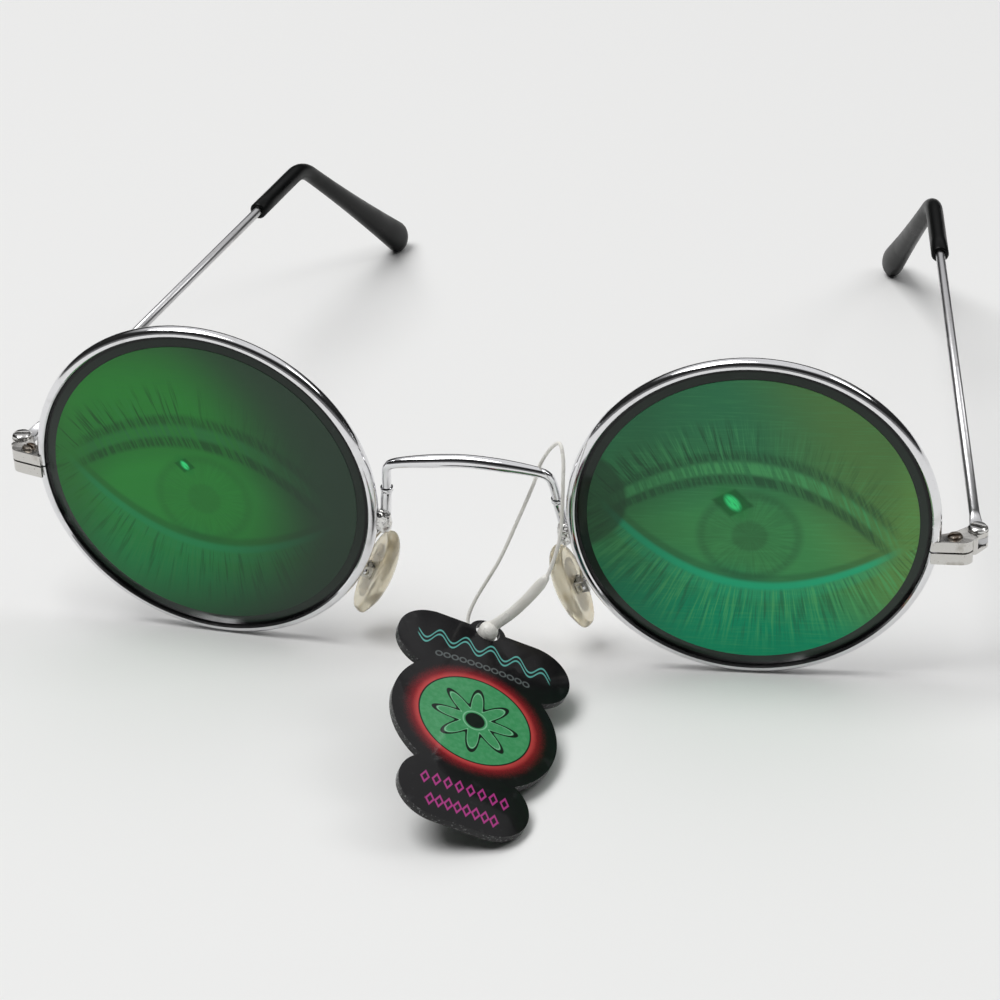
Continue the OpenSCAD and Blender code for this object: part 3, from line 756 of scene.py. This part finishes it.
@dataclass(frozen=True)
class TagPrint:
    """Black board with a green disc in a red glow and plain line ornament, under a clear gloss."""

    black: Colour = srgb(17, 16, 18)
    green: Colour = srgb(64, 144, 92)
    red: Colour = srgb(164, 30, 42)
    teal: Colour = srgb(92, 168, 160)
    pink: Colour = srgb(168, 52, 128)
    glitter: Colour = srgb(196, 198, 198)
    # painted highlight: the pale colour of the thin line along the back bevel
    bare_edge: Colour = srgb(206, 206, 202)
    ink: Colour = srgb(22, 30, 26)
    pale: Colour = srgb(150, 210, 172)
    disc_r: float = 7.6
    glow_r: float = 10.0
    petals: int = 8
    petal_mid: float = 4.1
    petal_reach: float = 1.5
    heart_r: float = 1.4
    wave_y: float = 13.6
    wave_rise: float = 0.95
    wave_pitch: float = 1.75
    wave_gap: float = 0.42
    ring_drop: float = 3.1
    ring_r: float = 0.42
    ring_step: float = 1.1

    def make(self) -> bpy.types.Material:
        """Builds the material.

        Returns:
            The material.
        """
        g = Graph("tag_print")
        at = PLACES.tag()
        x = g.along(at.translation, at.col[0].xyz)
        y = g.along(at.translation, at.col[1].xyz)
        face = g.facing(at.col[2].xyz)
        dust = g.remap(g.noise(g.place, 700.0, 4.0), 0.6, 0.75)
        colour = g.mix(g.times(dust, 0.15), self.black, srgb(70, 70, 72))
        colour = self.disc(g, x, y, colour)
        colour = self.top_band(g, x, y, colour)
        colour = self.low_band(g, x, y, colour)
        flake = g.remap(g.cells(g.place, 5200.0), 0.80, 0.97)
        side = g.remap(face, 0.35, 0.6, 1.0, 0.0)
        colour = g.mix(side, colour, self.black)
        # Painted highlight: a pale line painted along the back bevel of the tag's edge.
        rim = g.times(g.remap(face, -0.95, -0.8), g.remap(face, -0.35, -0.2, 1.0, 0.0))
        colour = g.mix(g.times(side, g.add(0.02, g.times(flake, 0.22))), colour, self.glitter)
        colour = g.mix(g.times(rim, 0.8), colour, self.bare_edge)
        g.set(base_color=colour, roughness=g.remap(g.noise(g.place, 900.0, 3.0), 0.3, 0.7, 0.3, 0.45))
        g.set(coat_weight=0.5, coat_roughness=0.08, coat_ior=1.35, specular_ior_level=0.12)
        g.bump(g.noise(g.place, 260.0, 2.0), 0.08, 0.12)
        return g.material

    def disc(self, g: Graph, x: Number, y: Number, colour: Tint) -> bpy.types.NodeSocket:
        """The green disc, its red glow and a dark eight-petalled rosette.

        Args:
            g: the material's nodes.
            x: millimetres across the tag.
            y: millimetres up the tag.
            colour: what is under it.

        Returns:
            The colour's socket.
        """
        r = g.radius(x, y)
        angle = g.math("ARCTAN2", y, x)
        speckle = g.less(g.cells(g.place, 9000.0), 0.5)
        glow = g.remap(g.add(r, g.times(speckle, 0.5)), self.disc_r - 0.7, self.glow_r, 1.0, 0.0)
        colour = g.mix(glow, colour, self.red)
        colour = g.mix(g.times(g.line(g.less(r, self.disc_r), 0.1, 0.9), 0.55), colour, srgb(208, 84, 80))
        grain = g.remap(g.noise(g.place, 1500.0, 3.0), 0.35, 0.7, 0.0, 0.6)
        green = g.mix(grain, self.green, srgb(84, 158, 110))
        colour = g.mix(g.remap(r, self.disc_r - 0.15, self.disc_r, 1.0, 0.0), colour, green)
        colour = g.mix(g.line(g.less(r, self.disc_r - 0.05), 0.05, 0.1), colour, srgb(20, 26, 22))
        wave = g.math("COSINE", g.times(angle, float(self.petals)))
        gap = g.less(r, g.add(self.petal_mid, g.times(wave, self.petal_reach)))
        colour = g.mix(g.line(gap, 0.24, 0.14), colour, self.ink)
        colour = g.mix(g.times(g.line(g.add(gap, 0.5), 0.05, 0.1), 0.6), colour, self.pale)
        colour = g.mix(g.remap(r, self.heart_r - 0.15, self.heart_r, 1.0, 0.0), colour, self.ink)
        return g.mix(g.times(g.line(g.less(r, self.heart_r + 0.2), 0.04, 0.1), 0.6), colour, self.pale)

    def top_band(self, g: Graph, x: Number, y: Number, colour: Tint) -> bpy.types.NodeSocket:
        """A double wave in teal over a row of faint rings.

        Args:
            g: the material's nodes.
            x: millimetres across the tag.
            y: millimetres up the tag.
            colour: what is under it.

        Returns:
            The colour's socket.
        """
        bow = g.less(g.times(x, x, 0.012), self.wave_y)
        wave = g.times(g.math("SINE", g.times(x, self.wave_pitch)), self.wave_rise)
        height = g.add(y, bow)
        inside = g.remap(g.size(x), 9.0, 9.4, 1.0, 0.0)
        for offset in (self.wave_gap, -self.wave_gap):
            gap = g.less(g.less(height, wave), offset)
            colour = g.mix(g.times(g.line(gap, 0.1, 0.12), inside), colour, self.teal)
        cell = g.less(g.math("PINGPONG", x, self.ring_step), self.ring_step / 2)
        ring = g.radius(cell, g.add(height, self.ring_drop))
        faint = g.times(g.line(g.less(ring, self.ring_r), 0.06, 0.1), g.remap(g.size(x), 6.55, 6.65, 0.5, 0.0))
        return g.mix(faint, colour, srgb(120, 128, 128))

    def low_band(self, g: Graph, x: Number, y: Number, colour: Tint) -> bpy.types.NodeSocket:
        """Two rows of pink lozenges.

        Args:
            g: the material's nodes.
            x: millimetres across the tag.
            y: millimetres up the tag.
            colour: what is under it.

        Returns:
            The colour's socket.
        """
        for centre, step, reach in ((-12.6, 1.5, 5.9), (-16.2, 1.2, 4.75)):
            cell = g.less(g.math("PINGPONG", g.add(x, 30.0), step), step / 2)
            rise = g.less(g.less(y, centre), g.times(x, x, -0.01))
            gap = g.add(g.size(cell), g.times(g.size(rise), 0.55))
            ends = g.remap(g.size(x), reach, reach + 0.2, 1.0, 0.0)
            colour = g.mix(g.times(g.line(g.less(gap, 0.5), 0.09, 0.1), ends), colour, self.pink)
        return colour


@dataclass(frozen=True)
class Refine:
    """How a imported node's copy is finished."""

    smooth_deg: float = 35.0
    bevel_mm: float = 0.0
    voxel_mm: float = 0.0
    relax: int = 0
    lumps_mm: float = 0.0


class Piece:
    """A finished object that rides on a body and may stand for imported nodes."""

    @staticmethod
    def from_bmesh(name: str, bm: bmesh.types.BMesh, at: Matrix) -> bpy.types.Object:
        """Turns a bmesh into an object at the origin.

        Args:
            name: the object's name.
            bm: the shape, which is freed.
            at: its place.

        Returns:
            The object.
        """
        bmesh.ops.transform(bm, matrix=at, verts=bm.verts)
        bmesh.ops.remove_doubles(bm, verts=bm.verts, dist=1e-7)
        bmesh.ops.recalc_face_normals(bm, faces=bm.faces)
        mesh = bpy.data.meshes.new(name)
        bm.to_mesh(mesh)
        bm.free()
        obj = bpy.data.objects.new(name, mesh)
        bpy.context.scene.collection.objects.link(obj)
        return obj

    @staticmethod
    def smooth(obj: bpy.types.Object, degrees: float) -> None:
        """Shades an object smooth up to an angle.

        Args:
            obj: the object.
            degrees: edges sharper than this stay crisp.
        """
        obj.data.shade_smooth()
        obj.data.set_sharp_from_angle(angle=math.radians(degrees))

    @staticmethod
    def dress(obj: bpy.types.Object, material: bpy.types.Material, slot: str, body: str,
              nodes: Sequence[str]) -> bpy.types.Object:
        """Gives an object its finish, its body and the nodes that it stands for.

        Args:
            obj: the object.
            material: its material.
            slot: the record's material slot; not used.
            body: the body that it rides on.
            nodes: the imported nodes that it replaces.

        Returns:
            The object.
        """
        obj.data.materials.clear()
        obj.data.materials.append(material)
        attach(obj, body)
        if nodes:
            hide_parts(*nodes)
        log.info("%s rides on %s", obj.name, body)
        return obj

    @classmethod
    def refined(cls, node: str, how: Refine) -> bpy.types.Object:
        """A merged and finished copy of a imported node.

        Args:
            node: the node's name.
            how: its finish.

        Returns:
            The copy.
        """
        bm = bmesh.new()
        bm.from_mesh(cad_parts[node].data)
        bmesh.ops.remove_doubles(bm, verts=bm.verts, dist=2e-6)
        bmesh.ops.dissolve_degenerate(bm, edges=bm.edges, dist=1e-6)
        obj = cls.from_bmesh(f"{node}_finished", bm, Matrix.Identity(4))
        if how.voxel_mm:
            remesh = obj.modifiers.new("even", "REMESH")
            remesh.mode = "VOXEL"
            remesh.voxel_size = how.voxel_mm * MM
            relax = obj.modifiers.new("relax", "SMOOTH")
            relax.factor = 0.5
            relax.iterations = how.relax
            cls.apply(obj)
        if how.lumps_mm:
            for vertex in obj.data.vertices:
                lift = noise.noise(vertex.co * 1300) + 0.5 * noise.noise(vertex.co * 2900)
                vertex.co += vertex.normal * lift * how.lumps_mm * MM
        cls.smooth(obj, how.smooth_deg)
        if how.bevel_mm:
            bevel = obj.modifiers.new("edges", "BEVEL")
            bevel.width = how.bevel_mm * MM
            bevel.segments = 3
            bevel.limit_method = "ANGLE"
            bevel.angle_limit = math.radians(42)
            bevel.harden_normals = True
        return obj

    @staticmethod
    def apply(obj: bpy.types.Object) -> None:
        """Turns an object's modifiers into its mesh.

        Args:
            obj: the object.
        """
        seen = obj.evaluated_get(bpy.context.evaluated_depsgraph_get())
        mesh = bpy.data.meshes.new_from_object(seen)
        obj.modifiers.clear()
        obj.data = mesh


@dataclass(frozen=True)
class Lamp:
    """A square soft light, in metres and watts."""

    name: str
    at: tuple[float, float, float]
    target: tuple[float, float, float]
    size: float
    power: float

    def build(self) -> None:
        """Hangs the light and points it at its target."""
        data = bpy.data.lights.new(self.name, "AREA")
        data.size = self.size
        data.energy = self.power
        obj = bpy.data.objects.new(self.name, data)
        away = Vector(self.at) - Vector(self.target)
        obj.matrix_world = Matrix.Translation(self.at) @ away.to_track_quat("Z", "Y").to_matrix().to_4x4()
        bpy.context.scene.collection.objects.link(obj)


@dataclass
class Studio:
    """The camera, the pale floor, the soft lights and the world."""

    camera_at: tuple[float, float, float] = (0.0764, -0.380893, 0.20164)
    camera_right: tuple[float, float, float] = (0.9781, 0.2044, -0.0383)
    camera_up: tuple[float, float, float] = (-0.0653, 0.4769, 0.8765)
    focal_px: float = 2812.0
    sensor_mm: float = 36.0
    picture_px: float = 1000.0
    floor: Colour = srgb(237, 237, 236)
    floor_half: float = 4.0
    lamps: tuple[Lamp, ...] = (
        Lamp("key", (-0.90, -0.45, 2.50), (0.0, 0.05, 0.0), 1.5, 47.0),
        Lamp("side", (1.60, 0.20, 1.59), (0.0, 0.0, 0.01), 0.80, 5.6),
    )
    sky_strength: float = 0.80
    sky_lean: float = 0.3
    sky: tuple[tuple[float, float], ...] = (
        (0.0, 0.20), (0.10, 0.05), (0.25, 0.02), (0.66, 0.03), (0.76, 0.45), (0.84, 1.0), (0.98, 1.0), (1.0, 0.95),
    )

    def build(self) -> None:
        """Makes the camera, the lights, the world and the floor."""
        self.camera()
        for lamp in self.lamps:
            lamp.build()
        self.world()
        self.ground()

    def camera(self) -> None:
        """The photograph's camera."""
        data = bpy.data.cameras.new("view")
        data.sensor_width = self.sensor_mm
        data.lens = self.focal_px * self.sensor_mm / self.picture_px
        data.clip_start = 0.01
        right = Vector(self.camera_right).normalized()
        back = right.cross(Vector(self.camera_up)).normalized()
        up = back.cross(right)
        turn_to = Matrix((right, up, back)).transposed().to_4x4()
        obj = bpy.data.objects.new("view", data)
        obj.matrix_world = Matrix.Translation(self.camera_at) @ turn_to
        bpy.context.scene.collection.objects.link(obj)
        bpy.context.scene.camera = obj

    def world(self) -> None:
        """A dark room under a pale ceiling that leans back, which gives bright metal its dark streaks."""
        world = bpy.data.worlds.new("room")
        bpy.context.scene.world = world
        world.use_nodes = True
        tree = world.node_tree
        back = tree.nodes["Background"]
        coordinate = tree.nodes.new("ShaderNodeTexCoord")
        split = tree.nodes.new("ShaderNodeSeparateXYZ")
        tree.links.new(coordinate.outputs["Generated"], split.inputs[0])
        height = tree.nodes.new("ShaderNodeMath")
        height.operation = "MULTIPLY_ADD"
        tree.links.new(split.outputs["Y"], height.inputs[0])
        height.inputs[1].default_value = self.sky_lean
        tree.links.new(split.outputs["Z"], height.inputs[2])
        ramp = tree.nodes.new("ShaderNodeValToRGB")
        tree.links.new(height.outputs[0], ramp.inputs[0])
        while len(ramp.color_ramp.elements) < len(self.sky):
            ramp.color_ramp.elements.new(0.5)
        for element, (place, level) in zip(ramp.color_ramp.elements, self.sky):
            element.position = place
            element.color = (level, level, level * 1.01, 1.0)
        tree.links.new(ramp.outputs[0], back.inputs[0])
        back.inputs[1].default_value = self.sky_strength

    def ground(self) -> None:
        """The plain pale floor."""
        bm = bmesh.new()
        bmesh.ops.create_grid(bm, x_segments=1, y_segments=1, size=self.floor_half)
        obj = Piece.from_bmesh("floor", bm, Matrix.Identity(4))
        g = Graph("floor_paint")
        tone = g.noise(g.place, 3.0, 2.0)
        g.set(base_color=g.mix(tone, self.floor, tuple(c * 0.985 for c in self.floor)))
        g.set(roughness=0.9, specular_ior_level=0.05)
        obj.data.materials.append(g.material)


@dataclass
class TagLoop:
    """The clear nylon loop, its broad band and its lock."""

    width: float = 0.5
    length: float = 52.2
    exit_at: tuple[float, float, float] = (11.0, -1.4, 33.8)
    route: tuple[tuple[float, float, float], ...] = (
        (2.3, -7.8, 8.7), (0.9, -7.2, 8.7), (0, -6, 9.8), (1, -5, 12.6), (4.1, -3.8, 18),
        (6.4, -2.6, 23.2), (8.4, -1, 28), (9.4, -0.7, 31), (11, -1.4, 33.8),
        (12.5, -2.8, 35.3), (13.1, -3.9, 33.6), (13.1, -4.4, 31), (12.9, -4.6, 26.8),
        (12.6, -5, 23), (11.8, -5.5, 19.8), (10.9, -6, 17.4),
    )

    def smooth_route(self, steps: int) -> list[Vector]:
        """The smooth line through the route's points, in metres.

        Args:
            steps: points between each two.

        Returns:
            The line's points.
        """
        p = [Vector((x, y - PLACES.middle_y, z)) * MM for x, y, z in self.route]
        line: list[Vector] = []
        for i in range(len(p) - 1):
            a, b, c, d = p[max(i - 1, 0)], p[i], p[i + 1], p[min(i + 2, len(p) - 1)]
            for k in range(steps):
                t = k / steps
                line.append(0.5 * (2 * b + (c - a) * t + (2 * a - 5 * b + 4 * c - d) * t * t
                                   + (3 * b - a - 3 * c + d) * t * t * t))
        return line + [p[-1]]

    def build(self) -> None:
        nylon = ClearPlastic("loop_nylon", srgb(252, 250, 244), srgb(244, 241, 232), 0.12, 0.25, 0.01).make()
        data = bpy.data.curves.new("loop_thread", "CURVE")
        data.dimensions = "3D"
        data.bevel_depth = self.width / 2 * MM
        data.bevel_resolution = 4
        data.use_fill_caps = True
        line = self.smooth_route(6)
        spline = data.splines.new("POLY")
        spline.points.add(len(line) - 1)
        for point, co in zip(spline.points, line):
            point.co = (*co, 1.0)
        thread = bpy.data.objects.new("loop_thread", data)
        bpy.context.scene.collection.objects.link(thread)
        Piece.dress(thread, nylon, "loop_nylon", "front", ["tag_loop"])
        band = Piece.refined("tag_loop_band", Refine(60.0))
        Piece.dress(band, nylon, "loop_nylon", "front", ["tag_loop_band"])
        lock = Piece.refined("tag_loop_lock", Refine(40.0))
        Piece.dress(lock, nylon, "loop_nylon", "front", ["tag_loop_lock"])


@dataclass
class Rims:
    """The two split rims, spun from their section."""

    lens_r: float = 23.0
    wall: float = 1.2
    depth: float = 2.0
    groove: float = 0.5
    splits: dict[Side, float] = field(default_factory=lambda: {Side.LEFT: -3.7, Side.RIGHT: 0.5})
    gap: float = 0.24
    lip: float = 0.18
    arc_deg: float = 156.0
    arc_points: int = 19
    seat_half: float = 0.5
    groove_half: float = 0.2
    steps: int = 180

    def section(self) -> list[tuple[float, float]]:
        """The rim's closed section.

        Returns:
            Its points, as radius and height over the lens plane.
        """
        mid = self.lens_r + self.wall - self.depth / 2
        half = self.depth / 2
        inner, bottom = self.lens_r, self.lens_r + self.groove
        points = [(inner, self.seat_half), (inner, half - self.lip), (inner + self.lip, half)]
        for k in range(self.arc_points):
            angle = math.radians(self.arc_deg / 2 - self.arc_deg * k / (self.arc_points - 1))
            points.append((mid + half * math.cos(angle), half * math.sin(angle)))
        points += [(inner + self.lip, -half), (inner, self.lip - half), (inner, -self.seat_half)]
        return points + [(bottom, -self.groove_half), (bottom, self.groove_half)]

    def build(self) -> None:
        """Makes both rims."""
        plating = PlatedMetal("rim_plating").make()
        for side in Side:
            bm = bmesh.new()
            start = math.asin((self.splits[side] + self.gap / 2) / (self.lens_r + 0.6))
            end = math.asin((self.splits[side] - self.gap / 2) / (self.lens_r + 0.6))
            verts = [bm.verts.new((r * MM, -h * MM, 0)) for r, h in self.section()]
            ring = bm.faces.new(verts)
            bmesh.ops.rotate(bm, verts=bm.verts, cent=(0, 0, 0), matrix=Matrix.Rotation(start, 3, Vector((0, -1, 0))))
            bmesh.ops.spin(bm, geom=[ring], cent=(0, 0, 0), axis=(0, -1, 0), steps=self.steps,
                           angle=2 * math.pi - (start - end), use_duplicate=False)
            rim = Piece.from_bmesh(f"rim_{side.word}_finished", bm, PLACES.lens(side))
            Piece.smooth(rim, 32.0)
            Piece.dress(rim, plating, "bright_rim", "front", [f"rim_{side.word}"])


@dataclass
class Lenses:
    """The dark lenses and the picture films on them."""

    film_r: float = 21.4
    film_front: float = 0.57
    film_t: float = 0.12

    def build(self) -> None:
        """Makes both films and dresses both lenses."""
        for side in Side:
            lens = Piece.refined(f"lens_{side.word}", Refine(30.0))
            Piece.dress(lens, DarkLens(side).make(), "dark_lens", "front", [f"lens_{side.word}"])
            bm = bmesh.new()
            bmesh.ops.create_circle(bm, cap_ends=True, segments=240, radius=self.film_r * MM)
            bmesh.ops.rotate(bm, verts=bm.verts, cent=(0, 0, 0), matrix=turn(90, "X").to_3x3())
            bmesh.ops.translate(bm, verts=bm.verts, vec=(0, -self.film_front * MM, 0))
            grown = bmesh.ops.extrude_face_region(bm, geom=bm.faces[:])
            back = [v for v in grown["geom"] if isinstance(v, bmesh.types.BMVert)]
            bmesh.ops.translate(bm, verts=back, vec=(0, self.film_t * MM, 0))
            film = Piece.from_bmesh(f"picture_film_{side.word}_finished", bm, PLACES.lens(side))
            Piece.smooth(film, 30.0)
            Piece.dress(film, EyePicture(side).make(), "picture_film", "front", [f"picture_film_{side.word}"])


@dataclass
class Bridge:
    """The bridge wire, the solder and the pad arms."""

    def build(self) -> None:
        """Dresses the wires and lumps the solder."""
        wire = PlatedMetal("wire_plating", roughness=0.06, wear=0.3).make()
        for node in ("bridge", "pad_arm_left", "pad_arm_right"):
            Piece.dress(Piece.refined(node, Refine(48.0)), wire, "bright_wire", "front", [node])
        solder = Piece.refined("bridge_braze", Refine(60.0, voxel_mm=0.1, relax=2, lumps_mm=0.2))
        Piece.dress(solder, SolderMetal().make(), "solder", "front", ["bridge_braze"])


@dataclass
class NosePads:
    """The clear pads on their metal inserts."""

    def build(self) -> None:
        """Rounds the pads and dresses the inserts."""
        clear = ClearPlastic("pad_plastic", srgb(255, 248, 226), srgb(247, 231, 196), 0.68, 0.08, 0.2).make()
        metal = PlatedMetal("pad_metal", srgb(196, 194, 188), srgb(120, 116, 108), 0.22, 0.6).make()
        for side in Side:
            insert = Piece.refined(f"pad_insert_{side.word}", Refine(35.0, bevel_mm=0.05))
            Piece.dress(insert, metal, "pad_metal", f"pad_{side.word}", [f"pad_insert_{side.word}"])
            pad = Piece.refined(f"nose_pad_{side.word}", Refine(70.0, voxel_mm=0.16, relax=10))
            Piece.dress(pad, clear, "pad_plastic", f"pad_{side.word}", [f"nose_pad_{side.word}"])


@dataclass
class Hinges:
    """The end pieces, the lock blocks and the screws."""

    def build(self) -> None:
        """Breaks the edges and dresses the metal."""
        metal = PlatedMetal("end_plating", srgb(208, 206, 202), srgb(146, 138, 126), 0.22, 0.7).make()
        lock = PlatedMetal("lock_screw_metal", srgb(150, 142, 132), srgb(96, 84, 72), 0.3, 0.9, srgb(92, 66, 44)).make()
        hinge = PlatedMetal("hinge_screw_metal", srgb(208, 207, 205), srgb(140, 136, 130), 0.16, 0.7).make()
        for side in Side:
            for node in (f"end_piece_{side.word}", f"rim_lock_block_{side.word}"):
                Piece.dress(Piece.refined(node, Refine(35.0, bevel_mm=0.15)), metal, "end_metal", "front", [node])
            node = f"hinge_screw_{side.word}"
            Piece.dress(Piece.refined(node, Refine(35.0, bevel_mm=0.05)), hinge, "hinge_screw", "front", [node])
        screws = Piece.refined("rim_lock_screws", Refine(35.0, bevel_mm=0.05))
        Piece.dress(screws, lock, "lock_screw", "front", ["rim_lock_screws"])


@dataclass
class Temples:
    """The temple wires and their black tips."""

    def build(self) -> None:
        """Dresses the wires and the tips."""
        wire = PlatedMetal("temple_plating", srgb(192, 192, 193), srgb(150, 148, 144), 0.26, 0.5).make()
        tip = SatinPlastic().make()
        for side in Side:
            body = f"temple_{side.word}"
            rod = Piece.refined(f"temple_wire_{side.word}", Refine(40.0))
            Piece.dress(rod, wire, "bright_wire", body, [f"temple_wire_{side.word}"])
            cover = Piece.refined(f"temple_tip_{side.word}", Refine(60.0))
            Piece.dress(cover, tip, "tip_plastic", body, [f"temple_tip_{side.word}"])


@dataclass
class HangTag:
    """The lobed tag with its ornament."""

    def build(self) -> None:
        """Rounds the tag's edge and prints it."""
        tag = Piece.refined("hang_tag", Refine(35.0, bevel_mm=0.3))
        Piece.dress(tag, TagPrint().make(), "tag_board", "front", ["hang_tag"])


def main() -> None:
    """Builds the scene in order."""
    logging.basicConfig(level=logging.INFO, format="%(name)s: %(message)s")
    bpy.context.scene.view_settings.view_transform = "Standard"
    for builder in (Studio, TagLoop, Rims, Lenses, Bridge, NosePads, Hinges, Temples, HangTag):
        builder().build()


if __name__ == "__main__":
    main()
